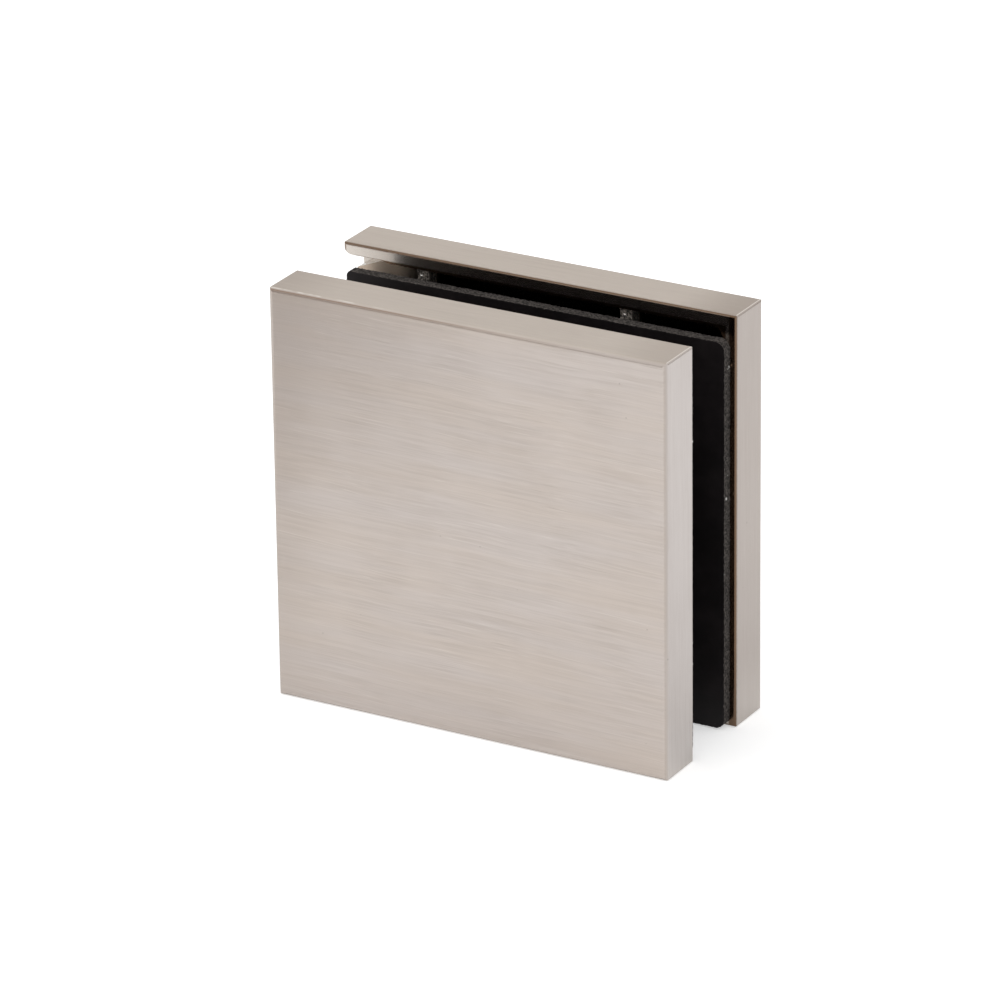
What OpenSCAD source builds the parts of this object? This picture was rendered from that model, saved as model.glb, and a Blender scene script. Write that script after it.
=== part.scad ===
// Square glass clamp: two hollow plates, held on the edge of a glass panel and screwed to a wall.
// X runs from the wall into the glass, Y from the front plate to the back plate, Z up.
// The origin is on the wall face, midway between the wall screws and midway between the plates.

/* [Plates] */
// Width of both plates, from the wall face to their free edge
plate_w = 50; // [46:0.5:80]
// Height of both plates
plate_h = 49.4; // [46:0.5:90]
// Thickness of the front plate
front_t = 6.2; // [5.5:0.05:10]
// Thickness of the back plate
back_t = 6.15; // [5.5:0.05:10]
// Distance between the plates' inner faces
plate_gap = 10.1; // [8:0.1:20]
// Radius of the plates' four corners, seen from the front
corner_r = 0.3; // [0.1:0.05:3]
// Radius along the edges of the plates' outer faces
outer_edge_r = 0.55; // [0.2:0.05:0.8]
// Radius along the edges of their inner faces
inner_edge_r = 0.35; // [0.15:0.05:0.6]

/* [Hollow of the castings] */
// Width of the rim around the hollow
rim_w = 1.7; // [1.2:0.05:3]
// Depth of the hollow below the rim
pocket_depth = 4.4; // [3:0.1:4.6]
// Radius of the hollow's corners at the free edge
pocket_r = 1.5; // [0.5:0.1:4]
// Thickness of the upright ribs
rib_t = 1.5; // [0.8:0.1:3]
// Centre of the outer rib, from the free edge
outer_rib_from_edge = 13.9; // [8:0.1:16]
// How far the tops of the ribs lie below the rim
rib_drop = 0.25; // [0.1:0.05:1]
// Radius of the hollow's corners beside the ribs
rib_r = 0.4; // [0.1:0.1:1.5]
// Radius where the rim ends at the open side of the back plate
rim_end_r = 1.1; // [0.3:0.05:1.2]
// How much thinner the back plate's rim is beside the wall
relief_h = 0.25; // [0.1:0.05:0.4]
// Length of that thinner stretch
relief_w = 6; // [2:0.5:7]
// Length of the slope at its end
relief_run = 1.2; // [0.3:0.1:1.5]

/* [Web] */
// Thickness of the web, from the wall face
web_t = 9; // [8:0.5:14]
// Height of the web
web_h = 36; // [34:0.5:39]
// Radius of the web's corners on the glass side
web_r = 3; // [1:0.5:4]
// Clearance between the web and the first rib
web_clear = 0.5; // [0.3:0.05:1.5]
// How far the back plate can close before the web meets its land
closing_travel = 1.3; // [0.5:0.1:1.5]

/* [Land in the back plate] */
// Depth of the screw land below the rim
land_depth = 2.05; // [1.8:0.05:2.4]
// Distance from the top and bottom of the hollow to the land
land_margin = 0.8; // [0.5:0.1:2]
// Length of the tapered stretch beside the wall
land_taper_w = 3.5; // [1:0.5:7]
// Drop of the tapered stretch
land_taper_h = 1.2; // [0.5:0.1:3]

/* [Gaskets] */
// Thickness of a gasket
gasket_t = 1.4; // [0.8:0.1:3]
// Distance from the wall face to a gasket
gasket_wall_inset = 1.1; // [0:0.1:2]
// Distance from the free edge to a gasket
gasket_free_inset = 0.75; // [0.7:0.05:2]
// Slack of the notch: the gasket has dropped by this much onto the web
gasket_slack = 1.35; // [0.2:0.05:1.4]
// Radius of the gasket's corners at the free edge
gasket_r = 1.2; // [0.5:0.1:3]
// Radius of its corners beside the wall
gasket_wall_r = 0.6; // [0.2:0.1:1.5]

/* [Clamp screws] */
// Thread diameter
screw_d = 4; // [3:0.5:5]
// Diameter of the countersunk head
head_d = 7.6; // [6:0.1:8.2]
// Height of the head's straight edge
head_edge = 0.35; // [0.1:0.05:0.6]
// Distance between the two screws
screw_spacing = 27; // [26:0.5:29]
// Length of thread inside the web
thread_grip = 6.5; // [4:0.5:7]
// Depth of the chamfer at the mouth of the tapped hole
thread_lead = 0.4; // [0.1:0.1:1]
// Width across the flats of the hex socket
socket_af = 2.5; // [2:0.5:3]
// Depth of the hex socket
socket_depth = 1.6; // [1:0.1:2]

/* [Wall screw holes] */
// Diameter of the holes
wall_hole_d = 5.2; // [4:0.1:5.6]
// Diameter of their countersinks
wall_sink_d = 9.4; // [8:0.1:10]
// Distance between the two holes
wall_hole_spacing = 16; // [12:0.5:16]

/* [Clearances] */
// Between the thread and its hole, on the radius
thread_clear = 0.06; // [0.03:0.01:0.1]
// Between the screw and the back plate, on the radius
screw_clear = 0.25; // [0.1:0.05:0.4]
// Between the head and its countersink
head_clear = 0.08; // [0.05:0.01:0.1]
// Between the gasket's notch and the web
notch_clear = 0.15; // [0.1:0.05:0.5]
// Between the gaskets and the ground
ground_clear = 0.1; // [0.05:0.05:0.3]
// Between the web and its stop when the back plate is fully closed
stop_clear = 0.05; // [0.02:0.01:0.2]
// Between the screw's tip and the end of its hole, fully closed
tip_clear = 0.7; // [0.3:0.1:1.5]

/* [Hidden] */
$fn = 64;

NICKEL = "#b5aaa0";
RUBBER = "#1c1c1c";
STEEL = "#a9a7a4";

// A cut runs this far past the face that it opens
past = 1;
// Two joined solids share this much
bite = 0.5;

inner_y = plate_gap / 2;
front_y = -inner_y - front_t;
back_y = inner_y + back_t;
pocket_h = plate_h - 2 * rim_w;

first_rib_x = web_t + web_clear;
outer_rib_x = plate_w - outer_rib_from_edge - rib_t / 2;
land_y = inner_y + land_depth;
land_h = pocket_h - 2 * land_margin;
web_end_y = land_y - closing_travel - stop_clear;

gasket_w = plate_w - gasket_wall_inset - gasket_free_inset;
gasket_h = plate_h - 2 * (gasket_slack + ground_clear);
notch_w = web_t + notch_clear - gasket_wall_inset;
notch_h = web_h + 2 * (gasket_slack + notch_clear);

screw_x = web_t / 2;
// The thread is drawn smooth, at its pitch diameter
thread_r = 0.45 * screw_d;
head_cone = head_d / 2 - thread_r;
tip_y = web_end_y - thread_grip;
tip_chamfer = 0.6;
head_base_y = back_y - head_edge - head_cone;
screw_hole_end_y = tip_y - closing_travel - tip_clear;
wall_sink = (wall_sink_d - wall_hole_d) / 2;

// Rectangle from the origin, with round corners: left pair and right pair by their own radius
module round_rect(w, h, left_r, right_r) {
    difference() {
        square([w, h]);
        for (z = [0, 1]) {
            corner_cut(0, z * h, 1, 1 - 2 * z, left_r);
            corner_cut(w, z * h, -1, 1 - 2 * z, right_r);
        }
    }
}

// What a round corner takes off a sharp one, for a corner at (x, y) whose inside lies towards (sx, sy)
module corner_cut(x, y, sx, sy, r) {
    if (r > 0)
        translate([x, y])
            scale([sx, sy])
                difference() {
                    translate([-past, -past]) square(r + past);
                    translate([r, r]) circle(r);
                }
}

// Outline in the XZ plane, given thickness from y0 to y1
module upright(y0, y1) {
    translate([0, y1, 0])
        rotate([90, 0, 0])
            linear_extrude(y1 - y0) children();
}

// Solid plate with round corners, from y0, where its edges have radius r0, to y1, where they have r1
module plate_blank(y0, y1, r0, r1) {
    t = y1 - y0;
    intersection() {
        upright(y0, y1)
            translate([0, -plate_h / 2]) round_rect(plate_w, plate_h, corner_r, corner_r);
        translate([plate_w, y0, -plate_h / 2])
            linear_extrude(plate_h) rotate(90) round_rect(t, plate_w, r0, r1);
        translate([0, y0, -plate_h / 2])
            rotate([90, 0, 90])
                linear_extrude(plate_w) round_rect(t, plate_h, r0, r1);
    }
}

// Hollow between x0 and x1, across the plate's full pocket height
module bay_outline(x0, x1, left_r, right_r) {
    translate([x0, -pocket_h / 2]) round_rect(x1 - x0, pocket_h, left_r, right_r);
}

// The two hollows on the glass side of the first rib
module glass_bays() {
    bay_outline(first_rib_x + rib_t, outer_rib_x, rib_r, rib_r);
    bay_outline(outer_rib_x + rib_t, plate_w - rim_w, rib_r, pocket_r);
}

// What lowers the tops of the ribs, from inside the hollow at x0 to the free rim
module rib_tops(x0) {
    bay_outline(x0, plate_w - rim_w, 0, pocket_r);
}

// The hollow that takes the web's end: open on the wall side, where the rim gets thinner and ends in a radius
module web_bay() {
    bay_outline(-past, first_rib_x, 0, rib_r);
    for (side = [-1, 1])
        scale([1, side])
            translate([0, pocket_h / 2]) {
                polygon([
                    [-past, -bite], [relief_w, -bite], [relief_w, 0],
                    [relief_w - relief_run, relief_h], [-past, relief_h]
                ]);
                translate([0, relief_h])
                    difference() {
                        translate([-past, -bite]) square([rim_end_r + past, rim_end_r + bite]);
                        translate([rim_end_r, rim_end_r]) circle(rim_end_r);
                    }
            }
}

// Raised floor around the clamp screws, tapered beside the wall
module land_outline() {
    half = land_h / 2;
    polygon([
        [outer_edge_r, half - land_taper_h], [land_taper_w, half], [first_rib_x + bite, half],
        [first_rib_x + bite, -half], [land_taper_w, -half], [outer_edge_r, land_taper_h - half]
    ]);
}

module web_outline() {
    translate([0, -web_h / 2]) round_rect(web_t, web_h, 0, web_r);
}

// Puts its children at each clamp screw, with +Z along the screw towards its head
module at_screws(sides = [-1, 1]) {
    for (side = sides)
        translate([screw_x, 0, side * screw_spacing / 2])
            rotate([-90, 0, 0]) children();
}

// Countersunk hole through the back plate
module screw_hole() {
    translate([0, 0, inner_y]) cylinder(h = back_t + past, r = thread_r + screw_clear);
    rotate_extrude()
        polygon([
            [0, head_base_y - head_clear], [thread_r, head_base_y - head_clear],
            [head_d / 2 + head_clear, back_y - head_edge], [head_d / 2 + head_clear, back_y + past],
            [0, back_y + past]
        ]);
}

// Tapped hole in the web's end, drawn smooth, with a chamfered mouth
module tapped_hole() {
    hole_r = thread_r + thread_clear;
    translate([0, 0, screw_hole_end_y]) cylinder(h = web_end_y - screw_hole_end_y + past, r = hole_r);
    translate([0, 0, web_end_y - thread_lead])
        cylinder(h = thread_lead + past, r1 = hole_r, r2 = hole_r + thread_lead + past);
}

// Clearance hole through the web along X, countersunk on the glass side
module wall_hole() {
    rotate([0, 90, 0])
        rotate_extrude()
            polygon([
                [0, -past], [wall_hole_d / 2, -past], [wall_hole_d / 2, web_t - wall_sink],
                [wall_sink_d / 2, web_t], [wall_sink_d / 2, web_t + past], [0, web_t + past]
            ]);
}

module front_plate() {
    color(NICKEL)
        difference() {
            union() {
                difference() {
                    plate_blank(front_y, -inner_y, outer_edge_r, inner_edge_r);
                    upright(-inner_y - pocket_depth, -inner_y + past) glass_bays();
                    upright(-inner_y - rib_drop, -inner_y + past) rib_tops(outer_rib_x - rib_r);
                }
                upright(-inner_y - bite, web_end_y) web_outline();
            }
            at_screws() tapped_hole();
            for (side = [-1, 1])
                translate([0, 0, side * wall_hole_spacing / 2]) wall_hole();
        }
}

module back_plate() {
    color(NICKEL)
        difference() {
            union() {
                difference() {
                    plate_blank(inner_y, back_y, inner_edge_r, outer_edge_r);
                    upright(inner_y - past, inner_y + pocket_depth) {
                        glass_bays();
                        web_bay();
                    }
                    upright(inner_y - past, inner_y + rib_drop) rib_tops(first_rib_x - rib_r);
                }
                upright(land_y, back_y - outer_edge_r) land_outline();
            }
            at_screws() screw_hole();
        }
}

module gasket_outline() {
    translate([gasket_wall_inset, -gasket_slack])
        difference() {
            translate([0, -gasket_h / 2]) round_rect(gasket_w, gasket_h, gasket_wall_r, gasket_r);
            translate([-past, -notch_h / 2]) round_rect(notch_w + past, notch_h, 0, web_r);
        }
}

module front_gasket() {
    color(RUBBER) upright(-inner_y, -inner_y + gasket_t) gasket_outline();
}

module rear_gasket() {
    color(RUBBER) upright(inner_y - gasket_t, inner_y) gasket_outline();
}

// Countersunk screw along +Z, tip first
module clamp_screw() {
    color(STEEL)
        difference() {
            rotate_extrude()
                polygon([
                    [0, tip_y], [thread_r - tip_chamfer, tip_y], [thread_r, tip_y + tip_chamfer],
                    [thread_r, head_base_y], [head_d / 2, back_y - head_edge],
                    [head_d / 2, back_y], [0, back_y]
                ]);
            translate([0, 0, back_y - socket_depth])
                cylinder(h = socket_depth + past, d = socket_af / cos(30), $fn = 6);
        }
}

module upper_clamp_screw() {
    at_screws([1]) clamp_screw();
}

module lower_clamp_screw() {
    at_screws([-1]) clamp_screw();
}

front_plate();
back_plate();
front_gasket();
rear_gasket();
upper_clamp_screw();
lower_clamp_screw();
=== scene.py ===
# %% [markdown]
# # A square glass clamp in brushed nickel
# Two square plates hold the edge of a glass panel between rubber gaskets. The front plate has a
# web that is screwed to the wall, and two countersunk screws pull the back plate towards it.
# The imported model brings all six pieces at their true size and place. This script dresses them:
# it gives each surface its finish, cuts the threads and drives of the screws, and lights the result.

# %% Load the clamp
import math
from types import SimpleNamespace

import bmesh
import bpy
from mathutils import Matrix, Vector
from mathutils.noise import turbulence


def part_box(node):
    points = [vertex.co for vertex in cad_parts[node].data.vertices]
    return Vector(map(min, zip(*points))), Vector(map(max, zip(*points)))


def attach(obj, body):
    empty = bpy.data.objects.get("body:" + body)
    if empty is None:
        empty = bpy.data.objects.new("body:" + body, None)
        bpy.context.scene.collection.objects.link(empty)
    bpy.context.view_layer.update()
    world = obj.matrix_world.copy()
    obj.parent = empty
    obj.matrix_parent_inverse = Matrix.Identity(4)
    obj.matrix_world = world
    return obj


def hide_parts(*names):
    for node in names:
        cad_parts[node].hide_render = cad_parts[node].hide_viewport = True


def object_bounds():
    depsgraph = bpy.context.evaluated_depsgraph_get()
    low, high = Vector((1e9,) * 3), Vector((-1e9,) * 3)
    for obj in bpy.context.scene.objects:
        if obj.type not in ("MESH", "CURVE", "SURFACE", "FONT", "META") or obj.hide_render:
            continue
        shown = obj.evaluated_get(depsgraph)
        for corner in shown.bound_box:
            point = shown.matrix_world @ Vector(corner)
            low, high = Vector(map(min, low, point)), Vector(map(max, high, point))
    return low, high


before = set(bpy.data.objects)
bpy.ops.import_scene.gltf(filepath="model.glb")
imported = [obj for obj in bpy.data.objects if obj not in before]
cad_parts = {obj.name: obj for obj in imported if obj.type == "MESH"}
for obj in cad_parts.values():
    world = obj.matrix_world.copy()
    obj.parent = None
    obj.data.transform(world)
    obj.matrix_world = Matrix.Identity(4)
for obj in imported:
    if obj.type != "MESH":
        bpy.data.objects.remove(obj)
cad_low, cad_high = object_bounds()
MM = 0.001
print("clamp of", [round(side / MM, 2) for side in cad_high - cad_low], "mm")

# %% [markdown]
# ## The camera
# The clamp is seen from the right and from above, with a long lens, so its edges stay nearly parallel.
# The angles, the lens and the distance were fitted to the corners of both plates. Building the
# camera's own axes from the angles keeps the small roll, which a camera aimed at a point would lose.

# %% Camera
AZIMUTH, ELEVATION, ROLL = (math.radians(angle) for angle in (29.881, 22.690, -0.735))
LENS = 247.3
DISTANCE = 766.43 * MM
RIGHT_OF_AXIS = 1.906 * MM
ABOVE_AXIS = 0.082 * MM

back = Vector((
    math.sin(AZIMUTH) * math.cos(ELEVATION),
    -math.cos(AZIMUTH) * math.cos(ELEVATION),
    math.sin(ELEVATION),
))
level_right = Vector((math.cos(AZIMUTH), math.sin(AZIMUTH), 0))
level_up = back.cross(level_right)
right = level_right * math.cos(ROLL) + level_up * math.sin(ROLL)
up = level_up * math.cos(ROLL) - level_right * math.sin(ROLL)

clamp_centre = (cad_low + cad_high) / 2
camera = bpy.data.objects.new("camera", bpy.data.cameras.new("camera"))
bpy.context.collection.objects.link(camera)
camera.data.lens = LENS
camera.matrix_world = Matrix.Translation(
    clamp_centre + back * DISTANCE - right * RIGHT_OF_AXIS - up * ABOVE_AXIS
) @ Matrix((right, up, back)).transposed().to_4x4()
bpy.context.scene.camera = camera
print("camera", round(DISTANCE / MM), "mm from the clamp, lens", LENS)

# %% [markdown]
# ## Small tools for nodes
# Shader nodes are long-winded to make from code, so a few helpers keep the finishes readable. `feed`
# links a socket or sets its plain value, `calc` is one Math node, and `times` multiplies masks.
# `new_group` starts a shader node group with named sockets, and `place` puts such a group into a
# material with values of its own.

# %% Node tools
def feed(tree, socket, value):
    if isinstance(value, bpy.types.NodeSocket):
        tree.links.new(value, socket)
    else:
        socket.default_value = value


def add(tree, kind, settings=None, **values):
    made = tree.nodes.new(kind)
    for name, setting in (settings or {}).items():
        setattr(made, name, setting)
    for name, value in values.items():
        feed(tree, made.inputs[name.replace("_", " ")], value)
    return made


def calc(tree, operation, *values):
    made = add(tree, "ShaderNodeMath", {"operation": operation})
    for socket, value in zip(made.inputs, values):
        feed(tree, socket, value)
    return made.outputs[0]


def vector_calc(tree, operation, *values):
    made = add(tree, "ShaderNodeVectorMath", {"operation": operation})
    for socket, value in zip(made.inputs, values):
        feed(tree, socket, value)
    return made.outputs["Value" if operation in ("LENGTH", "DOT_PRODUCT") else "Vector"]


def between(tree, value, low, high, out_low=0.0, out_high=1.0):
    made = add(tree, "ShaderNodeMapRange", {"interpolation_type": "SMOOTHSTEP"})
    for name, number in zip(("From Min", "From Max", "To Min", "To Max"), (low, high, out_low, out_high)):
        feed(tree, made.inputs[name], number)
    feed(tree, made.inputs["Value"], value)
    return made.outputs["Result"]


def blend(tree, share, first, second):
    made = add(tree, "ShaderNodeMix", {"data_type": "RGBA"})
    for index, value in zip((0, 6, 7), (share, first, second)):
        feed(tree, made.inputs[index], value)
    return made.outputs[2]


def noise(tree, place_at, scale, detail=2.0, roughness=0.5):
    made = add(tree, "ShaderNodeTexNoise", Vector=place_at, Scale=scale, Detail=detail, Roughness=roughness)
    return made.outputs["Fac"]


def times(tree, first, *others):
    for other in others:
        first = calc(tree, "MULTIPLY", first, other)
    return first


def split(tree, vector):
    return add(tree, "ShaderNodeSeparateXYZ", Vector=vector).outputs


print("node tools ready")

# %% Groups and materials
def new_group(name, inputs, outputs):
    tree = bpy.data.node_groups.new(name, "ShaderNodeTree")
    for socket, kind in inputs.items():
        tree.interface.new_socket(socket, in_out="INPUT", socket_type=f"NodeSocket{kind}")
    for socket, kind in outputs.items():
        tree.interface.new_socket(socket, in_out="OUTPUT", socket_type=f"NodeSocket{kind}")
    return tree, tree.nodes.new("NodeGroupInput").outputs, tree.nodes.new("NodeGroupOutput").inputs


def place(tree, group, **values):
    made = tree.nodes.new("ShaderNodeGroup")
    made.node_tree = group
    for name, value in values.items():
        feed(tree, made.inputs[name.replace("_", " ")], value)
    return made.outputs


def new_material(name, **constants):
    material = bpy.data.materials.new(name)
    material.use_nodes = True
    shader = material.node_tree.nodes["Principled BSDF"]
    for socket, value in constants.items():
        shader.inputs[socket.replace("_", " ")].default_value = value
    coordinates = material.node_tree.nodes.new("ShaderNodeTexCoord").outputs
    return material, material.node_tree, shader, coordinates["Object"], coordinates["Normal"]


print("groups and materials can be made")

# %% [markdown]
# ## The studio
# The clamp stands on a white sweep under soft light, and brushed metal is only as good as what it
# reflects. So the floor is white for the camera and nearly white for reflections, with the clamp's own
# soft shadow left on it. A dim band far out at the horizon gives the rounded edges their thin dark
# lines. A card on the left, pale below and dark above, is only there for reflections: it takes some
# light out of that side of the front plate and darkens the left half of its top edge.

# %% White sweep
FLOOR_HALF = 2.0
FLOOR_SEEN, FLOOR_MIRRORED = 0.46, 0.24
PAPER_GREY, PAPER_WHITE = (0.86, 0.86, 0.86, 1), (0.88, 0.88, 0.88, 1)

floor_z = cad_low.z


def stage_mesh(name, points, faces, material):
    mesh = bpy.data.meshes.new(name)
    mesh.from_pydata(points, [], faces)
    mesh.materials.append(material)
    made = bpy.data.objects.new(name, mesh)
    bpy.context.collection.objects.link(made)
    return made


def floor_finish():
    material, tree, shader, position, _ = new_material("white_sweep", Roughness=0.9)
    shader.inputs["Specular IOR Level"].default_value = 0.0
    paper = noise(tree, position, 40.0, 3.0)
    feed(tree, shader.inputs["Base Color"], blend(tree, paper, PAPER_GREY, PAPER_WHITE))
    rays = tree.nodes.new("ShaderNodeLightPath").outputs
    mirrored = calc(tree, "MAXIMUM", rays["Is Glossy Ray"], rays["Is Transmission Ray"])
    mirrored = calc(tree, "MULTIPLY", mirrored, FLOOR_MIRRORED)
    glow = calc(tree, "MULTIPLY_ADD", rays["Is Camera Ray"], FLOOR_SEEN, mirrored)
    feed(tree, shader.inputs["Emission Color"], glow)
    shader.inputs["Emission Strength"].default_value = 1.0
    return material


corners = [(x * FLOOR_HALF, y * FLOOR_HALF, floor_z) for x, y in ((-1, -1), (1, -1), (1, 1), (-1, 1))]
floor = stage_mesh("floor", corners, [(0, 1, 2, 3)], floor_finish())
print("stage:", floor.name)

# %% Surround and card
SURROUND_R = 1.5
SURROUND_H = 0.42
SURROUND_STEPS = 48
CARD_X = -40 * MM
CARD_FROM_Y, CARD_TO_Y = -70 * MM, -104 * MM
CARD_H = 85 * MM
CARD_CHANGE, CARD_BLEND = 42 * MM, 12 * MM
FIBRE_SHARE = 0.1
DIM = (0.66, 0.59, 0.53, 1)
PALE, DARK = (0.45, 0.40, 0.36, 1), (0.27, 0.135, 0.075, 1)
BLACK = (0, 0, 0, 1)


def only_mirrored(made):
    made.visible_camera = made.visible_diffuse = made.visible_shadow = False
    return made


def graded_card(name, low_tone, high_tone):
    material, tree, shader, position, _ = new_material(name, Roughness=0.8)
    change = floor_z + CARD_CHANGE
    raised = between(tree, split(tree, position)["Z"], change - CARD_BLEND, change + CARD_BLEND)
    tone = blend(tree, raised, low_tone, high_tone)
    fibre = times(tree, noise(tree, position, 60.0, 3.0), FIBRE_SHARE)
    feed(tree, shader.inputs["Base Color"], blend(tree, fibre, tone, BLACK))
    return material


ring = [math.tau * step / SURROUND_STEPS for step in range(SURROUND_STEPS)]
rim_points = [
    (SURROUND_R * math.cos(turn), SURROUND_R * math.sin(turn), floor_z + height)
    for height in (0, SURROUND_H) for turn in ring
]
after = [(step + 1) % SURROUND_STEPS for step in range(SURROUND_STEPS)]
rim_faces = [(i, after[i], SURROUND_STEPS + after[i], SURROUND_STEPS + i) for i in range(SURROUND_STEPS)]
surround = stage_mesh("surround", rim_points, rim_faces, graded_card("dim_surround", DIM, DIM))
only_mirrored(surround)

card_points = [(CARD_X, y, floor_z + z) for y, z in (
    (CARD_FROM_Y, 0), (CARD_TO_Y, 0), (CARD_TO_Y, CARD_H), (CARD_FROM_Y, CARD_H)
)]
card = stage_mesh("graded_card", card_points, [(0, 1, 2, 3)], graded_card("graded_card", PALE, DARK))
only_mirrored(card)
print("only for reflections:", surround.name, card.name)

# %% World and lamps
def softbox(name, direction, distance, size, power):
    lamp = bpy.data.lights.new(name, "AREA")
    lamp.shape = "DISK"
    lamp.size = size
    lamp.energy = power
    made = bpy.data.objects.new(name, lamp)
    bpy.context.collection.objects.link(made)
    aim = Vector(direction).normalized()
    made.location = clamp_centre + aim * distance
    made.rotation_euler = aim.to_track_quat("Z", "Y").to_euler()
    made.visible_glossy = False
    return made


def white_surroundings():
    world = bpy.data.worlds.new("studio_white")
    world.use_nodes = True
    tree = world.node_tree
    background = tree.nodes["Background"]
    background.inputs["Color"].default_value = (1, 1, 1, 1)
    rays = tree.nodes.new("ShaderNodeLightPath").outputs
    seen = calc(tree, "MAXIMUM", rays["Is Camera Ray"], rays["Is Glossy Ray"])
    seen = calc(tree, "MAXIMUM", seen, rays["Is Transmission Ray"])
    feed(tree, background.inputs["Strength"], between(tree, seen, 0.0, 1.0, 0.62, 1.0))
    return world


bpy.context.scene.world = white_surroundings()
bpy.context.scene.view_settings.view_transform = "Standard"
softbox("overhead", (-0.15, -0.15, 1.0), 0.9, 1.2, 2.4)
softbox("front_left", (-0.75, -0.65, 0.95), 0.9, 0.5, 1.4)
softbox("right_fill", (0.9, 0.5, 0.55), 1.0, 0.6, 0.8)
print("studio lit")

# %% [markdown]
# ## Effects that the finishes share
# Two effects turn up on more than one piece. Brush grain is noise that is stretched along the
# direction of brushing, so one noise gives long thin lines. A slower noise makes them wave a little, and
# the scratches lie a few degrees off them. Specks are the middles of scattered cells, used as pits in
# the metal and as dust on the rubber. Each is a node group, so a finish only states amounts.

# %% Brush grain
WAVE = 0.6 * MM
SCRATCH_SLOPE = 0.03
SCRATCH_SHAPE = (0.35, 1.5, 1.5)


def brush_grain_group():
    tree, given, result = new_group(
        "brush_grain",
        {"Position": "Vector", "Facing": "Vector", "Length": "Float", "Width": "Float"},
        {"Lines": "Float", "Glints": "Float", "Scratches": "Float"},
    )
    along = calc(tree, "DIVIDE", 1.0, given["Length"])
    across = calc(tree, "DIVIDE", 1.0, given["Width"])
    flat = add(tree, "ShaderNodeCombineXYZ", X=along, Y=across, Z=across).outputs[0]
    upright = add(tree, "ShaderNodeCombineXYZ", X=across, Y=across, Z=along).outputs[0]
    sideways = calc(tree, "ABSOLUTE", split(tree, given["Facing"])["X"])
    on_side = calc(tree, "GREATER_THAN", sideways, 0.71)
    stretch = add(tree, "ShaderNodeMix", {"data_type": "VECTOR"})
    for index, value in zip((0, 4, 5), (on_side, flat, upright)):
        feed(tree, stretch.inputs[index], value)
    drift = add(tree, "ShaderNodeTexNoise", Vector=given["Position"], Scale=70.0, Detail=1.0).outputs["Color"]
    drift = vector_calc(tree, "MULTIPLY", drift, (WAVE, WAVE, WAVE))
    waved = vector_calc(tree, "ADD", given["Position"], drift)
    x, y, z = split(tree, waved)
    risen = calc(tree, "MULTIPLY_ADD", x, SCRATCH_SLOPE, z)
    leaning = add(tree, "ShaderNodeCombineXYZ", X=x, Y=y, Z=risen).outputs[0]
    leaning = vector_calc(tree, "MULTIPLY", leaning, SCRATCH_SHAPE)
    lines = vector_calc(tree, "MULTIPLY", waved, stretch.outputs[1])
    strokes = vector_calc(tree, "MULTIPLY", leaning, stretch.outputs[1])
    patches = between(tree, noise(tree, given["Position"], 150.0, 2.0), 0.3, 0.7, 0.55, 1.0)
    fine = between(tree, noise(tree, lines, 0.5, 4.0, 0.75), 0.3, 0.7)
    feed(tree, result["Lines"], calc(tree, "MULTIPLY", fine, patches))
    feed(tree, result["Glints"], between(tree, noise(tree, strokes, 1.3, 1.0), 0.62, 0.78))
    feed(tree, result["Scratches"], between(tree, noise(tree, strokes, 1.0, 1.0, 0.4), 0.66, 0.80))
    return tree


brush_grain = brush_grain_group()
print("group", brush_grain.name)

# %% Specks
def specks_group():
    tree, given, result = new_group(
        "specks",
        {"Position": "Vector", "Spacing": "Float", "Size": "Float", "Share": "Float"},
        {"Specks": "Float"},
    )
    scale = calc(tree, "DIVIDE", 1.0, given["Spacing"])
    cells = add(tree, "ShaderNodeTexVoronoi", Vector=given["Position"], Scale=scale)
    lot = add(tree, "ShaderNodeSeparateColor", Color=cells.outputs["Color"]).outputs
    kept = calc(tree, "LESS_THAN", lot["Red"], given["Share"])
    reach = calc(tree, "MULTIPLY", calc(tree, "DIVIDE", given["Size"], given["Spacing"]), lot["Green"])
    spot = between(tree, cells.outputs["Distance"], 0.0, reach, 1.0, 0.0)
    feed(tree, result["Specks"], calc(tree, "MULTIPLY", spot, kept))
    return tree


specks = specks_group()
print("group", specks.name)

# %% [markdown]
# ## Places on a plate
# One finish has to cover the brushed outside of a plate, its plated inside and all its edges. Painting
# them by hand would be lost with every new mesh, so the places are worked out from the plate's box: how
# far a point lies inside the box, how deep it lies below the rim, and which way the surface faces. The
# ribs, the land and the bays lie at depths of their own. A rounded edge is where the surface faces
# between two axes.

# %% Measures on a plate
def plate_measures(tree, given):
    offset = vector_calc(tree, "SUBTRACT", given["Position"], given["Centre"])
    inset = vector_calc(tree, "SUBTRACT", given["Half Size"], vector_calc(tree, "ABSOLUTE", offset))
    x, y, z = split(tree, inset)
    half, from_middle = split(tree, given["Half Size"]), split(tree, offset)
    facing = split(tree, given["Facing"])
    to_glass = calc(tree, "MULTIPLY", from_middle["Y"], given["Towards Glass"])
    return SimpleNamespace(
        x=x, y=y, z=z, outline=calc(tree, "MINIMUM", x, z),
        along_x=split(tree, given["Position"])["X"], from_middle=from_middle,
        above_ground=calc(tree, "ADD", half["Z"], from_middle["Z"]),
        depth=calc(tree, "SUBTRACT", half["Y"], to_glass),
        facing=facing, steep=split(tree, vector_calc(tree, "ABSOLUTE", given["Facing"])),
        inward=calc(tree, "MULTIPLY", facing["Y"], given["Towards Glass"]),
    )


print("plates measured from their boxes")

# %% Places outside
OUTSIDE = ("Brushed", "Face", "Side", "Top", "Wall End", "Free End", "Low End")
BRUSHED_SKIN = 0.5 * MM
END_REACH = 9 * MM
EDGE_OF_FACE = 0.65


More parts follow.
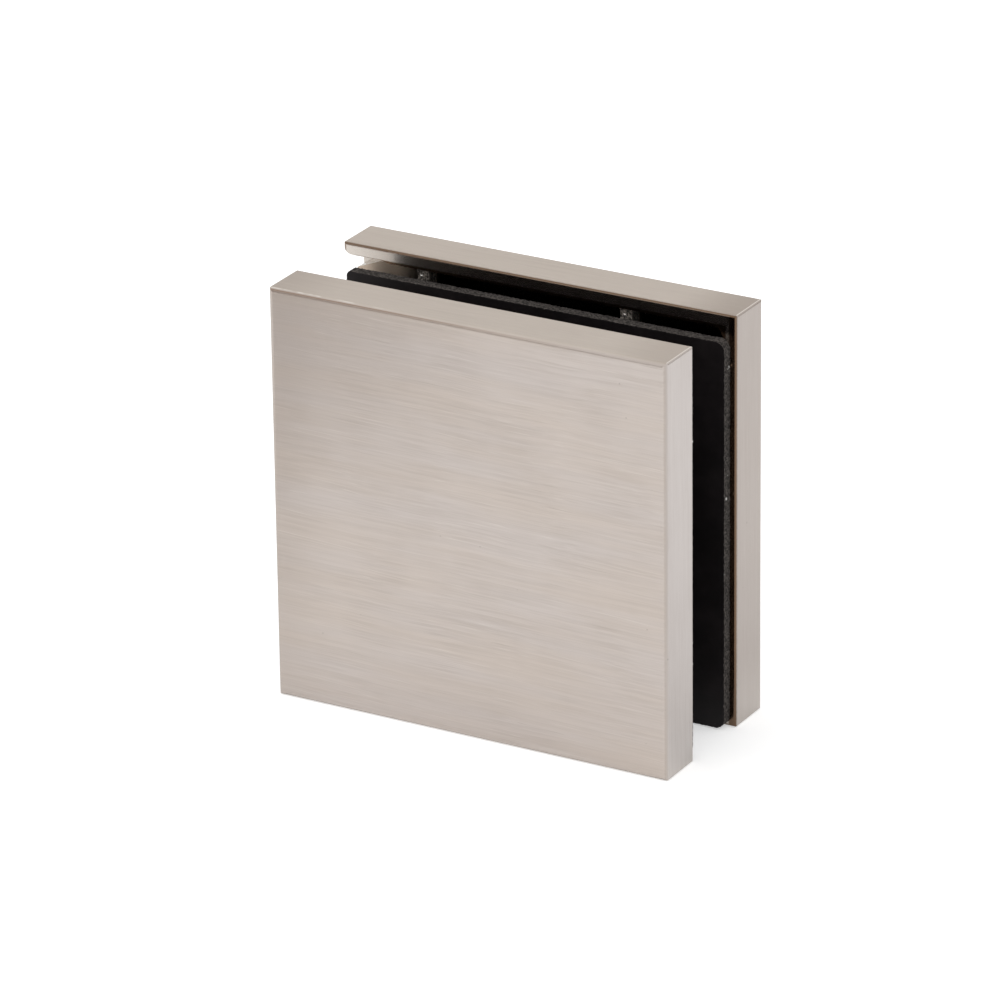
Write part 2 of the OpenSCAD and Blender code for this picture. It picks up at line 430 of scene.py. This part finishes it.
def outside_places(tree, at):
    nearest = calc(tree, "ABSOLUTE", calc(tree, "MINIMUM", at.outline, at.y))
    skin_deep = calc(tree, "LESS_THAN", nearest, BRUSHED_SKIN)
    # The end masks place painted shade on the tops and on the face near the wall end.
    ends = between(tree, at.x, 0.0, END_REACH, 1.0, 0.0)
    free_end = times(tree, ends, calc(tree, "GREATER_THAN", at.from_middle["X"], 0.0))
    return {
        "Brushed": times(tree, skin_deep, between(tree, at.inward, 0.3, 0.8, 1.0, 0.0)),
        "Face": between(tree, at.steep["Y"], 0.5, 0.95, EDGE_OF_FACE, 1.0),
        "Side": between(tree, at.steep["X"], 0.5, 0.95),
        "Top": between(tree, at.steep["Z"], 0.5, 0.95),
        "Wall End": calc(tree, "SUBTRACT", ends, free_end),
        "Free End": free_end,
        # Place of the painted light on the lower part of the sides.
        "Low End": between(tree, at.above_ground, 0.0, END_REACH, 1.0, 0.0),
    }


print("outside:", ", ".join(OUTSIDE))

# %% Places inside
INSIDE = ("Rim", "Rib Top", "Rib Glint", "Land", "Bay", "Wall")
RIM_DEPTH = 0.1 * MM, 0.2 * MM
RIB_DEPTH = 0.45 * MM, 0.65 * MM
RIB_FLANK = 1.3 * MM
RIB_X, RIB_STEP = 10.0 * MM, 25.9 * MM
GLINT_DROP = 2.55 * MM
GLINT_REACH = 0.04 * MM, 0.26 * MM
LAND_STARTS, LAND_ENDS = (1.6 * MM, 1.9 * MM), (2.3 * MM, 2.6 * MM)
BAYS_START_X = 5.5 * MM, 8.5 * MM


def inside_places(tree, at):
    below_rim = between(tree, at.depth, *RIM_DEPTH)
    flank = times(tree, between(tree, at.steep["X"], 0.5, 0.8), RIB_FLANK)
    sunk = calc(tree, "SUBTRACT", at.depth, flank)
    rib_top = times(tree, below_rim, between(tree, sunk, *RIB_DEPTH, 1.0, 0.0))
    # One spot a rib for the glint: a raised bump with a painted highlight.
    from_rib = calc(tree, "PINGPONG", calc(tree, "SUBTRACT", at.along_x, RIB_X), RIB_STEP / 2)
    from_drop = calc(tree, "ABSOLUTE", calc(tree, "SUBTRACT", at.z, GLINT_DROP))
    glint = between(tree, calc(tree, "MAXIMUM", from_rib, from_drop), *GLINT_REACH, 1.0, 0.0)
    land = between(tree, at.depth, *LAND_STARTS)
    bay = between(tree, sunk, *RIB_DEPTH)
    return {
        "Rim": between(tree, calc(tree, "ABSOLUTE", at.depth), *RIM_DEPTH, 1.0, 0.0),
        "Rib Top": rib_top,
        "Rib Glint": times(tree, glint, rib_top),
        "Land": times(tree, land, between(tree, at.depth, *LAND_ENDS, 1.0, 0.0)),
        "Bay": times(tree, bay, between(tree, at.along_x, *BAYS_START_X)),
        "Wall": times(tree, below_rim, between(tree, at.steep["Z"], 0.5, 0.8)),
    }


print("inside:", ", ".join(INSIDE))

# %% Edges
EDGES = ("Inner Edge", "Pocket Edge", "Front Edge", "Edge Glint", "Bright Edge", "Upright Edge")
EDGE_REACH = 0.15 * MM, 0.5 * MM
FREE_EDGE_REACH = 0.85 * MM, 1.15 * MM
FREE_EDGE_FROM_X = 20 * MM, 30 * MM
POCKET_LIP = 1.32 * MM, 1.48 * MM
FRONT_EDGE_FADES, FRONT_EDGE_LEFT = (8 * MM, 42 * MM), 0.2
EDGE_GLINT_FADES = 6 * MM, 18 * MM


# The edge masks place painted light: dark lines of painted shade on the glass-side edges, the pocket lip, the
# face's upper edge and the upright edges, and painted highlights above the upper edge, on the upper roundings
# and at the corners.
def edge_places(tree, at, rim, position):
    steep = at.steep
    squarest = calc(tree, "MAXIMUM", calc(tree, "MAXIMUM", steep["X"], steep["Y"]), steep["Z"])
    least = calc(tree, "MINIMUM", calc(tree, "MINIMUM", steep["X"], steep["Y"]), steep["Z"])
    rounded = between(tree, squarest, 0.82, 0.99, 1.0, 0.0)
    looks_up = between(tree, at.facing["Z"], 0.1, 0.3)

    second = calc(tree, "MINIMUM", at.y, calc(tree, "MAXIMUM", at.x, at.z))
    second = calc(tree, "MAXIMUM", at.outline, second)
    free_edge = times(
        tree, between(tree, at.x, *FREE_EDGE_REACH, 1.0, 0.0), between(tree, at.along_x, *FREE_EDGE_FROM_X)
    )
    inner = calc(tree, "MAXIMUM", between(tree, second, *EDGE_REACH, 1.0, 0.0), free_edge)

    brown = times(tree, rounded, looks_up, between(tree, at.inward, -0.8, -0.68, 1.0, 0.0))
    crest = times(
        tree, looks_up, between(tree, at.inward, -0.64, -0.56), between(tree, at.inward, -0.44, -0.34, 1.0, 0.0)
    )
    broken = between(tree, noise(tree, position, 450.0, 2.0), 0.40, 0.60)
    upper = times(
        tree, rounded, between(tree, steep["Z"], 0.76, 0.88), between(tree, steep["X"], 0.1, 0.35, 0.1, 1.0)
    )
    upright = times(
        tree, between(tree, steep["Z"], 0.1, 0.3, 1.0, 0.0), between(tree, at.inward, -0.3, -0.1, 1.0, 0.0)
    )
    return {
        "Inner Edge": times(tree, between(tree, at.inward, 0.5, 0.72), inner),
        "Pocket Edge": times(tree, rim, between(tree, at.outline, *POCKET_LIP)),
        "Front Edge": times(tree, brown, between(tree, at.along_x, *FRONT_EDGE_FADES, 1.0, FRONT_EDGE_LEFT)),
        "Edge Glint": times(tree, crest, broken, between(tree, at.along_x, *EDGE_GLINT_FADES, 1.0, 0.0)),
        "Bright Edge": calc(tree, "MAXIMUM", upper, between(tree, least, 0.15, 0.4)),
        "Upright Edge": times(tree, rounded, upright),
    }


print("edges:", ", ".join(EDGES))

# %% Group of places
def plate_zones_group():
    tree, given, result = new_group(
        "plate_zones",
        {
            "Position": "Vector", "Facing": "Vector", "Centre": "Vector",
            "Half Size": "Vector", "Towards Glass": "Float",
        },
        {zone: "Float" for zone in OUTSIDE + INSIDE + EDGES},
    )
    at = plate_measures(tree, given)
    zones = outside_places(tree, at)
    zones.update(inside_places(tree, at))
    zones.update(edge_places(tree, at, zones["Rim"], given["Position"]))
    for zone, mask in zones.items():
        feed(tree, result[zone], mask)
    return tree


plate_zones = plate_zones_group()
print("group", plate_zones.name, "with", len(OUTSIDE + INSIDE + EDGES), "places")

# %% [markdown]
# ## Brushed nickel
# Both plates are zinc castings. Their outsides are brushed along the width and nickel plated, which
# leaves a warm satin grey with faint lines, a few longer scratches and some pits. Light and shade are
# partly painted into the colour: a thin brown line of painted shade along the upper edge of the face
# with a broken painted highlight above it, painted highlights and dark lines on the other rounded edges,
# tones of their own for the tops and sides, and painted shade on the tops towards their ends. The colour
# is built up in layers, from the wide areas to the thin edges.

# %% Tones of the brushed outside
NICKEL_WARM, NICKEL_COOL = (0.605, 0.537, 0.487, 1), (0.605, 0.549, 0.516, 1)
# Painted light: the side and top tones are set for how light falls on those faces; the darker top is painted
# shade.
NICKEL_SIDE_PAINTED_LIGHT, NICKEL_TOP_PAINTED_SHADE = (0.594, 0.548, 0.525, 1), (0.534, 0.469, 0.409, 1)
# The line tone colours the brush lines and also serves as painted shade; the end tone is painted shade on the
# tops near their ends.
NICKEL_LINE_AND_SHADE, NICKEL_END_PAINTED_SHADE = (0.40, 0.345, 0.305, 1), (0.30, 0.245, 0.205, 1)
# The bright tone serves the grain's glints and the painted highlights.
NICKEL_BRIGHT = (0.96, 0.93, 0.88, 1)
# Both edge tones are painted shade: dark brown lines on rounded edges.
INNER_EDGE_PAINTED_SHADE, FRONT_EDGE_PAINTED_SHADE = (0.15, 0.088, 0.05, 1), (0.27, 0.185, 0.135, 1)
PIT, PIT_SHARE = (0.22, 0.19, 0.17, 1), 0.5
CLOUD_SCALE = (40, 40, 280)
# Painted light: the lowest part of each side is lightened, as if it mirrored a lit floor.
LOW_SIDE_PAINTED_LIGHT = 0.16
# Painted light on the rounded edges: dark lines of painted shade on the upright edges and the face's upper
# edge, painted highlights above that edge, on the upper roundings and at the corners.
EDGE_LIGHT_AND_SHADE = (
    ("Upright Edge", 0.42, NICKEL_LINE_AND_SHADE), ("Front Edge", 0.85, FRONT_EDGE_PAINTED_SHADE),
    ("Edge Glint", 0.42, NICKEL_BRIGHT), ("Bright Edge", 0.8, NICKEL_BRIGHT),
)


def brushed_tone(tree, position, zone, lined, glints, pits, shades):
    clouds = noise(tree, vector_calc(tree, "MULTIPLY", position, CLOUD_SCALE), 1.0, 3.0)
    clouds = between(tree, clouds, 0.3, 0.7)
    # Painted shade: the tops darken towards their ends, the face towards the wall end, and the back plate's
    # side all over.
    wall_end = times(tree, zone["Wall End"], shades["wall end"])
    end_shade = calc(tree, "MULTIPLY_ADD", zone["Free End"], shades["free end"], wall_end)
    top = blend(tree, end_shade, NICKEL_TOP_PAINTED_SHADE, NICKEL_END_PAINTED_SHADE)
    side = blend(tree, shades["side"], NICKEL_SIDE_PAINTED_LIGHT, NICKEL_LINE_AND_SHADE)
    # Painted light: the lowest part of each side is lightened towards the bright tone.
    side = blend(tree, times(tree, zone["Low End"], LOW_SIDE_PAINTED_LIGHT), side, NICKEL_BRIGHT)
    face = blend(tree, clouds, NICKEL_WARM, NICKEL_COOL)
    face = blend(tree, times(tree, zone["Wall End"], shades["face"]), face, NICKEL_LINE_AND_SHADE)
    # Sides and tops take tones of their own, which paint in how light falls on them.
    tone = blend(tree, zone["Side"], face, side)
    tone = blend(tree, zone["Top"], tone, top)
    tone = blend(tree, lined, tone, NICKEL_LINE_AND_SHADE)
    tone = blend(tree, glints, tone, NICKEL_BRIGHT)
    # Paint the light and shade of the rounded edges.
    for edge, share, edge_tone in EDGE_LIGHT_AND_SHADE:
        tone = blend(tree, times(tree, zone[edge], share), tone, edge_tone)
    return blend(tree, times(tree, pits, PIT_SHARE), tone, PIT)


print("brushed outside in", len(EDGE_LIGHT_AND_SHADE), "edge tones")

# %% [markdown]
# ## The plated inside
# The sides that face the glass are plated but not brushed: the rim there is bright, with a brown line
# of painted shade at its edge. The tops of the ribs keep the rough grain of the casting, so they are less
# metallic than the rest, and each has one small glint, a raised spot with a painted highlight. The closed
# bays are painted dark as shade, and the inside walls that face up or down get a painted highlight.

# %% Tones of the plated inside
PLATED_DARK, PLATED_LIGHT = (0.54, 0.49, 0.44, 1), (0.725, 0.67, 0.615, 1)
# The wall tone is a painted highlight.
PLATED_WALL_PAINTED_HIGHLIGHT, PLATED_LAND = (0.86, 0.83, 0.79, 1), (0.66, 0.55, 0.45, 1)
# Painted shade for the closed bays.
BAY_PAINTED_SHADE = (0.06, 0.05, 0.042, 1)
CAST_DARK, CAST_LIGHT = (0.03, 0.026, 0.022, 1), (0.38, 0.34, 0.30, 1)


def plated_tone(tree, zone, grit, cast_grain):
    tone = blend(tree, zone["Rim"], blend(tree, grit, PLATED_DARK, PLATED_LIGHT), PLATED_LIGHT)
    tone = blend(tree, zone["Land"], tone, PLATED_LAND)
    # Painted highlight on the inside walls that face up or down.
    tone = blend(tree, zone["Wall"], tone, PLATED_WALL_PAINTED_HIGHLIGHT)
    # Painted shade in the closed bays.
    tone = blend(tree, zone["Bay"], tone, BAY_PAINTED_SHADE)
    cast = blend(tree, between(tree, cast_grain, 0.4, 0.65), CAST_DARK, CAST_LIGHT)
    # Each rib top gets one spot of painted highlight, near-white on a raised bump.
    return blend(tree, zone["Rib Top"], tone, blend(tree, zone["Rib Glint"], cast, NICKEL_BRIGHT))


print("plated inside ready")

# %% Roughness and relief
SATIN_ROUGHNESS, PLATED_ROUGHNESS = (0.31, 0.38), (0.22, 0.28)
RIM_ROUGHNESS, LAND_ROUGHNESS = 0.20, 0.52
CAST_ROUGHNESS, GLINT_ROUGHNESS = 0.5, 0.2
PLATED_RELIEF, CAST_RELIEF = 0.06, 2.5
GLINT_HEIGHT = 20.0


def mix(tree, share, first, second):
    made = add(tree, "ShaderNodeMix", {"data_type": "FLOAT"})
    for index, value in zip((0, 2, 3), (share, first, second)):
        feed(tree, made.inputs[index], value)
    return made.outputs[0]


def plate_roughness(tree, zone, lined, grit):
    satin = between(tree, lined, 0.0, 0.4, *SATIN_ROUGHNESS)
    plated = mix(tree, zone["Rim"], between(tree, grit, 0.3, 0.7, *PLATED_ROUGHNESS), RIM_ROUGHNESS)
    plated = mix(tree, zone["Land"], plated, LAND_ROUGHNESS)
    cast = mix(tree, zone["Rib Glint"], CAST_ROUGHNESS, GLINT_ROUGHNESS)
    return mix(tree, zone["Brushed"], mix(tree, zone["Rib Top"], plated, cast), satin)


def plate_relief(tree, zone, lined, pits, grit):
    lines = calc(tree, "SUBTRACT", 0.0, calc(tree, "ADD", lined, pits))
    depth = mix(tree, zone["Rib Top"], mix(tree, zone["Rim"], PLATED_RELIEF, 0.0), CAST_RELIEF)
    cast = calc(tree, "MULTIPLY_ADD", zone["Rib Glint"], GLINT_HEIGHT, times(tree, grit, depth))
    return mix(tree, zone["Brushed"], cast, lines)


print("roughness and relief ready")

# %% Brushed nickel
LINE_LENGTH, LINE_WIDTH = 8 * MM, 0.165 * MM
LINE_SHARE, SCRATCH_SHARE, GLINT_SHARE = 0.36, 0.30, 0.16
# Share of the painted shade on the glass-side edges and the pocket lip.
BROWN_SHADE_SHARE = 0.95
RAW_SHARE = 0.6
BUMP_DEPTH = 0.007 * MM


def brushed_nickel(name, low, high, towards_glass, shades):
    material, tree, shader, position, facing = new_material(name)
    zone = place(
        tree, plate_zones, Position=position, Facing=facing, Centre=(low + high) / 2,
        Half_Size=(high - low) / 2, Towards_Glass=towards_glass,
    )
    grain = place(
        tree, brush_grain, Position=position, Facing=facing, Length=LINE_LENGTH, Width=LINE_WIDTH
    )
    pits = place(tree, specks, Position=position, Spacing=2.6 * MM, Size=0.20 * MM, Share=0.35)["Specks"]
    grit = noise(tree, position, 5200.0, 2.0, 0.6)
    cast_grain = noise(tree, position, 4300.0, 3.0, 0.7)
    lined = times(tree, grain["Lines"], LINE_SHARE)
    lined = calc(tree, "MULTIPLY_ADD", grain["Scratches"], SCRATCH_SHARE, lined)
    lined = times(tree, lined, zone["Face"])
    glints = times(tree, grain["Glints"], zone["Face"], GLINT_SHARE)

    brushed = brushed_tone(tree, position, zone, lined, glints, pits, shades)
    metal = blend(tree, zone["Brushed"], plated_tone(tree, zone, grit, cast_grain), brushed)
    # Painted shade: a dark brown line on the glass-side edges and at the lip of the pocket.
    edges = calc(tree, "MAXIMUM", zone["Inner Edge"], zone["Pocket Edge"])
    metal = blend(tree, times(tree, edges, BROWN_SHADE_SHARE), metal, INNER_EDGE_PAINTED_SHADE)
    feed(tree, shader.inputs["Base Color"], metal)
    raw = calc(tree, "SUBTRACT", zone["Rib Top"], zone["Rib Glint"])
    raw = times(tree, raw, between(tree, zone["Brushed"], 0.0, 1.0, RAW_SHARE, 0.0))
    feed(tree, shader.inputs["Metallic"], calc(tree, "SUBTRACT", 1.0, raw))
    feed(tree, shader.inputs["Roughness"], plate_roughness(tree, zone, lined, grit))
    bump = add(tree, "ShaderNodeBump", Strength=1.0, Distance=BUMP_DEPTH)
    feed(tree, bump.inputs["Height"], plate_relief(tree, zone, lined, pits, grit))
    feed(tree, shader.inputs["Normal"], bump.outputs[0])
    return material


print("brushed nickel ready")

# %% Dress the plates
# Shares of painted shade for each plate: on the face near the wall end, on the side, and on the top near each
# end.
FRONT_PAINTED_SHADES = {"face": 0.28, "side": 0.0, "wall end": 0.38, "free end": 0.32}
BACK_PAINTED_SHADES = {"face": 0.28, "side": 0.53, "wall end": 0.0, "free end": 0.62}


def wear(node, material):
    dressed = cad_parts[node]
    dressed.data.materials.clear()
    dressed.data.materials.append(material)
    print(node, "wears", material.name)


back_low, back_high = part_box("back_plate")
front_low, front_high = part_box("front_plate")
front_high.y = -back_low.y
wear("front_plate", brushed_nickel("brushed_nickel_front", front_low, front_high, 1.0, FRONT_PAINTED_SHADES))
wear("back_plate", brushed_nickel("brushed_nickel_back", back_low, back_high, -1.0, BACK_PAINTED_SHADES))

# %% [markdown]
# ## Black sheet rubber
# The gaskets are cut from sheet rubber. The moulded faces are smooth and nearly black, with a little
# dust. The knife leaves the cut edges torn and grey, with pale grains of filler. A face looks along Y
# and a cut edge never does, so the direction of the surface is enough to tell them apart.

# %% Black sheet rubber
FACE_BLACK, FACE_WORN = (0.0075, 0.0058, 0.0063, 1), (0.0155, 0.0122, 0.0130, 1)
CUT_DARK, CUT_GREY = (0.026, 0.0228, 0.0213, 1), (0.106, 0.0945, 0.087, 1)
FILLER = (0.95, 0.94, 0.91, 1)
DUST = (0.10, 0.10, 0.10, 1)


def sheet_rubber():
    material, tree, shader, position, facing = new_material("black_sheet_rubber")
    shader.inputs["Specular IOR Level"].default_value = 0.22
    across = calc(tree, "ABSOLUTE", split(tree, facing)["Y"])
    cut = between(tree, across, 0.8, 0.97, 1.0, 0.0)
    tear = noise(tree, position, 4200.0, 3.0, 0.65)
    bloom = noise(tree, position, 240.0, 3.0, 0.6)
    filler = place(tree, specks, Position=position, Spacing=0.6 * MM, Size=0.26 * MM, Share=0.06)["Specks"]
    dust = place(tree, specks, Position=position, Spacing=1.9 * MM, Size=0.13 * MM, Share=0.5)["Specks"]

    smooth = blend(tree, between(tree, bloom, 0.35, 0.8), FACE_BLACK, FACE_WORN)
    smooth = blend(tree, calc(tree, "MULTIPLY", dust, 0.5), smooth, DUST)
    torn = blend(tree, between(tree, tear, 0.4, 0.64), CUT_DARK, CUT_GREY)
    torn = blend(tree, calc(tree, "MULTIPLY", filler, 0.95), torn, FILLER)
    feed(tree, shader.inputs["Base Color"], blend(tree, cut, smooth, torn))
    feed(tree, shader.inputs["Roughness"], between(tree, cut, 0.0, 1.0, 0.48, 0.92))
    relief = calc(tree, "MULTIPLY_ADD", cut, 0.95, 0.05)
    height = times(tree, calc(tree, "ADD", tear, filler), relief)
    bump = add(tree, "ShaderNodeBump", Strength=0.7, Distance=0.05 * MM, Height=height)
    feed(tree, shader.inputs["Normal"], bump.outputs[0])
    return material


rubber = sheet_rubber()
print("material", rubber.name)

# %% [markdown]
# ## Torn edges
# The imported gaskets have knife-sharp, even edges. Their skins follow the same outline, read from the
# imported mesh, but the cut edge becomes a fine grid whose points are pulled in a little by noise. They
# are only ever pulled into the rubber, so a gasket still fits its plate and the web.

# %% Skins
def skin(node, body, points, faces, material):
    mesh = bpy.data.meshes.new(f"{node}_skin")
    mesh.from_pydata(points, [], faces)
    mesh.validate()
    mesh.materials.append(material)
    made = bpy.data.objects.new(f"{node}_skin", mesh)
    bpy.context.collection.objects.link(made)
    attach(made, body)
    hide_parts(node)
    print(made.name, len(mesh.polygons), "faces")
    return made


print("skins can replace imported pieces")

# %% Outline of a gasket
EDGE_STEP = 0.12 * MM


def outline_of(node):
    shell = bmesh.new()
    shell.from_mesh(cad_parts[node].data)
    bmesh.ops.remove_doubles(shell, verts=shell.verts, dist=0.001 * MM)
    shell.normal_update()
    after = {}
    for face in shell.faces:
        if face.normal.y > 0.99:
            for loop in face.loops:
                if loop.link_loop_radial_next.face.normal.y < 0.99:
                    after[loop.vert] = loop.link_loop_next.vert
    walk = [next(iter(after))]
    while after[walk[-1]] != walk[0]:
        walk.append(after[walk[-1]])
    corners = [(corner.co.x, corner.co.z) for corner in walk]
    shell.free()
    return corners


def fine_outline(corners):
    for (x0, z0), (x1, z1) in zip(corners, corners[1:] + corners[:1]):
        length = math.hypot(x1 - x0, z1 - z0)
        count = max(1, math.ceil(length / EDGE_STEP))
        inward = ((z1 - z0) / length, (x0 - x1) / length)
        for step in range(count):
            part = step / count
            yield x0 + (x1 - x0) * part, z0 + (z1 - z0) * part, inward


print("outline in steps of", EDGE_STEP / MM, "mm")

# %% Gasket skins
EDGE_ROWS = (0.0, 0.12, 0.3, 0.5, 0.7, 0.88, 1.0)
TEAR_BASE, TEAR_DEPTH = 0.06 * MM, 0.11 * MM
TEARS_PER_MM = 2.2


def gasket_skin(node, body, material):
    low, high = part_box(node)
    outline = list(fine_outline(outline_of(node)))
    points, faces = [], []
    for row in EDGE_ROWS:
        y = low.y + (high.y - low.y) * row
        for x, z, inward in outline:
            torn = turbulence(Vector((x, y, z)) / MM * TEARS_PER_MM, 3, False)
            pull = TEAR_BASE + TEAR_DEPTH * min(1.0, abs(torn))
            points.append((x + inward[0] * pull, y, z + inward[1] * pull))
    size = len(outline)
    for row in range(len(EDGE_ROWS) - 1):
        for step in range(size):
            start, after = row * size + step, row * size + (step + 1) % size
            faces.append((start, after, after + size, start + size))
    faces.append(tuple(reversed(range(size))))
    faces.append(tuple(range(len(points) - size, len(points))))
    return skin(node, body, points, faces, material)


gasket_skin("front_gasket", "front", rubber)
gasket_skin("rear_gasket", "jaw", rubber)

# %% [markdown]
# ## The clamp screws
# The imported screws are smooth. Real ones have a rolled thread, a turned head and a hexagon socket with
# a countersunk mouth. All of it is one skin of rings round the screw's axis, from the tip to the bottom
# of the socket: a ring's radius depends on the angle, so the same loop makes round rings, the thread's
# helix and the hexagon. The thread is cut into the imported shank, so nothing grows past its hole. The
# steel shows fine turning rings on the head, and the socket is darkened with painted shade.

# %% Rings of a screw
PITCH = 0.7 * MM
THREAD_DEPTH = 0.30 * MM
SHANK_R = 1.8 * MM
TIP_CHAMFER = 0.6 * MM
HEAD_EDGE = 0.35 * MM
HEAD_ROUND = 0.12 * MM
RUNOUT = 0.5 * MM
SOCKET_FLATS = 2.5 * MM
SOCKET_DEPTH = 1.6 * MM
SOCKET_MOUTH = 1.55 * MM
RINGS_PER_TURN = 10


def hexagon_r(turn):
    sixth = math.tau / 6
    return SOCKET_FLATS / 2 / math.cos((turn % sixth) - sixth / 2)


def thread_cut(along, turn):
    phase = (along / PITCH - turn / math.tau) % 1.0
    return THREAD_DEPTH * (1 - abs(2 * phase - 1))


def screw_rings(tip, head_top, head_r):
    head_base = head_top - HEAD_EDGE - (head_r - SHANK_R)
    yield tip, lambda turn: 0.0
    count = round((head_base - tip) / PITCH * RINGS_PER_TURN)
    for step in range(count + 1):
        at = tip + (head_base - tip) * step / count
        limit = SHANK_R - max(0.0, TIP_CHAMFER - (at - tip))
        runout = min(1.0, (head_base - at) / RUNOUT)
        yield at, lambda turn, at=at, limit=limit, runout=runout: min(
            limit, SHANK_R - runout * thread_cut(at - tip, turn)
        )
    slope = HEAD_ROUND * 0.3
    for drop, narrow in ((HEAD_EDGE, 0.0), (HEAD_ROUND, 0.0), (slope, slope), (0.0, HEAD_ROUND)):
        yield head_top - drop, lambda turn, narrow=narrow: head_r - narrow
    yield head_top, lambda turn: SOCKET_MOUTH
    lead_in = SOCKET_MOUTH - SOCKET_FLATS / 2
    for part in (0.25, 0.5, 0.75, 1.0):
        cone = SOCKET_MOUTH - lead_in * part
        yield head_top - lead_in * part * 0.6, lambda turn, cone=cone: max(cone, hexagon_r(turn))
    yield head_top - SOCKET_DEPTH, hexagon_r
    yield head_top - SOCKET_DEPTH * 1.02, lambda turn: 0.0


print("thread of", PITCH / MM, "mm pitch")

# %% Screw skins
RING_STEPS = 72


def screw_skin(node, body, material):
    low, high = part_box(node)
    middle = (low + high) / 2
    points, faces = [], []
    for at, radius in screw_rings(low.y, high.y, (high.x - low.x) / 2):
        for step in range(RING_STEPS):
            turn = math.tau * step / RING_STEPS
            out = radius(turn)
            points.append((middle.x + out * math.cos(turn), at, middle.z + out * math.sin(turn)))
    for ring_start in range(0, len(points) - RING_STEPS, RING_STEPS):
        for step in range(RING_STEPS):
            after = (step + 1) % RING_STEPS
            faces.append((
                ring_start + step, ring_start + RING_STEPS + step,
                ring_start + RING_STEPS + after, ring_start + after,
            ))
    made = skin(node, body, points, faces, material)
    made.data.shade_smooth()
    return made


print("screw skins of", RING_STEPS, "points a ring")

# %% Screw steel
STEEL_DARK, STEEL_LIGHT = (0.34, 0.325, 0.30, 1), (0.64, 0.62, 0.59, 1)
# Painted shade for the socket.
SOCKET_PAINTED_SHADE = (0.17, 0.16, 0.145, 1)


def screw_steel(node):
    material, tree, shader, position, facing = new_material(f"{node}_steel", Metallic=1.0)
    low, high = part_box(node)
    axis = (low + high) / 2
    from_axis = vector_calc(tree, "MULTIPLY", vector_calc(tree, "SUBTRACT", position, axis), (1, 0, 1))
    radius = vector_calc(tree, "LENGTH", from_axis)
    rings = noise(tree, add(tree, "ShaderNodeCombineXYZ", X=radius).outputs[0], 9000.0, 2.0)
    smears = noise(tree, position, 700.0, 3.0, 0.6)
    tone = calc(tree, "MULTIPLY_ADD", rings, 0.6, calc(tree, "MULTIPLY", smears, 0.4))
    below_head = calc(tree, "SUBTRACT", high.y, split(tree, position)["Y"])
    in_socket = calc(
        tree, "MULTIPLY", between(tree, below_head, 0.1 * MM, SOCKET_DEPTH / 2),
        between(tree, below_head, SOCKET_DEPTH * 1.05, SOCKET_DEPTH * 1.1, 1.0, 0.0),
    )
    in_socket = calc(tree, "MULTIPLY", in_socket, calc(tree, "LESS_THAN", radius, SOCKET_MOUTH))
    steel = blend(tree, between(tree, tone, 0.3, 0.7), STEEL_DARK, STEEL_LIGHT)
    # Painted shade in the socket.
    feed(tree, shader.inputs["Base Color"], blend(tree, in_socket, steel, SOCKET_PAINTED_SHADE))
    feed(tree, shader.inputs["Roughness"], between(tree, smears, 0.3, 0.7, 0.22, 0.36))
    bump = add(tree, "ShaderNodeBump", Strength=0.3, Distance=0.01 * MM, Height=rings)
    feed(tree, shader.inputs["Normal"], bump.outputs[0])
    return material


for side in ("upper", "lower"):
    screw = f"{side}_clamp_screw"
    screw_skin(screw, f"{side}_screw", screw_steel(screw))
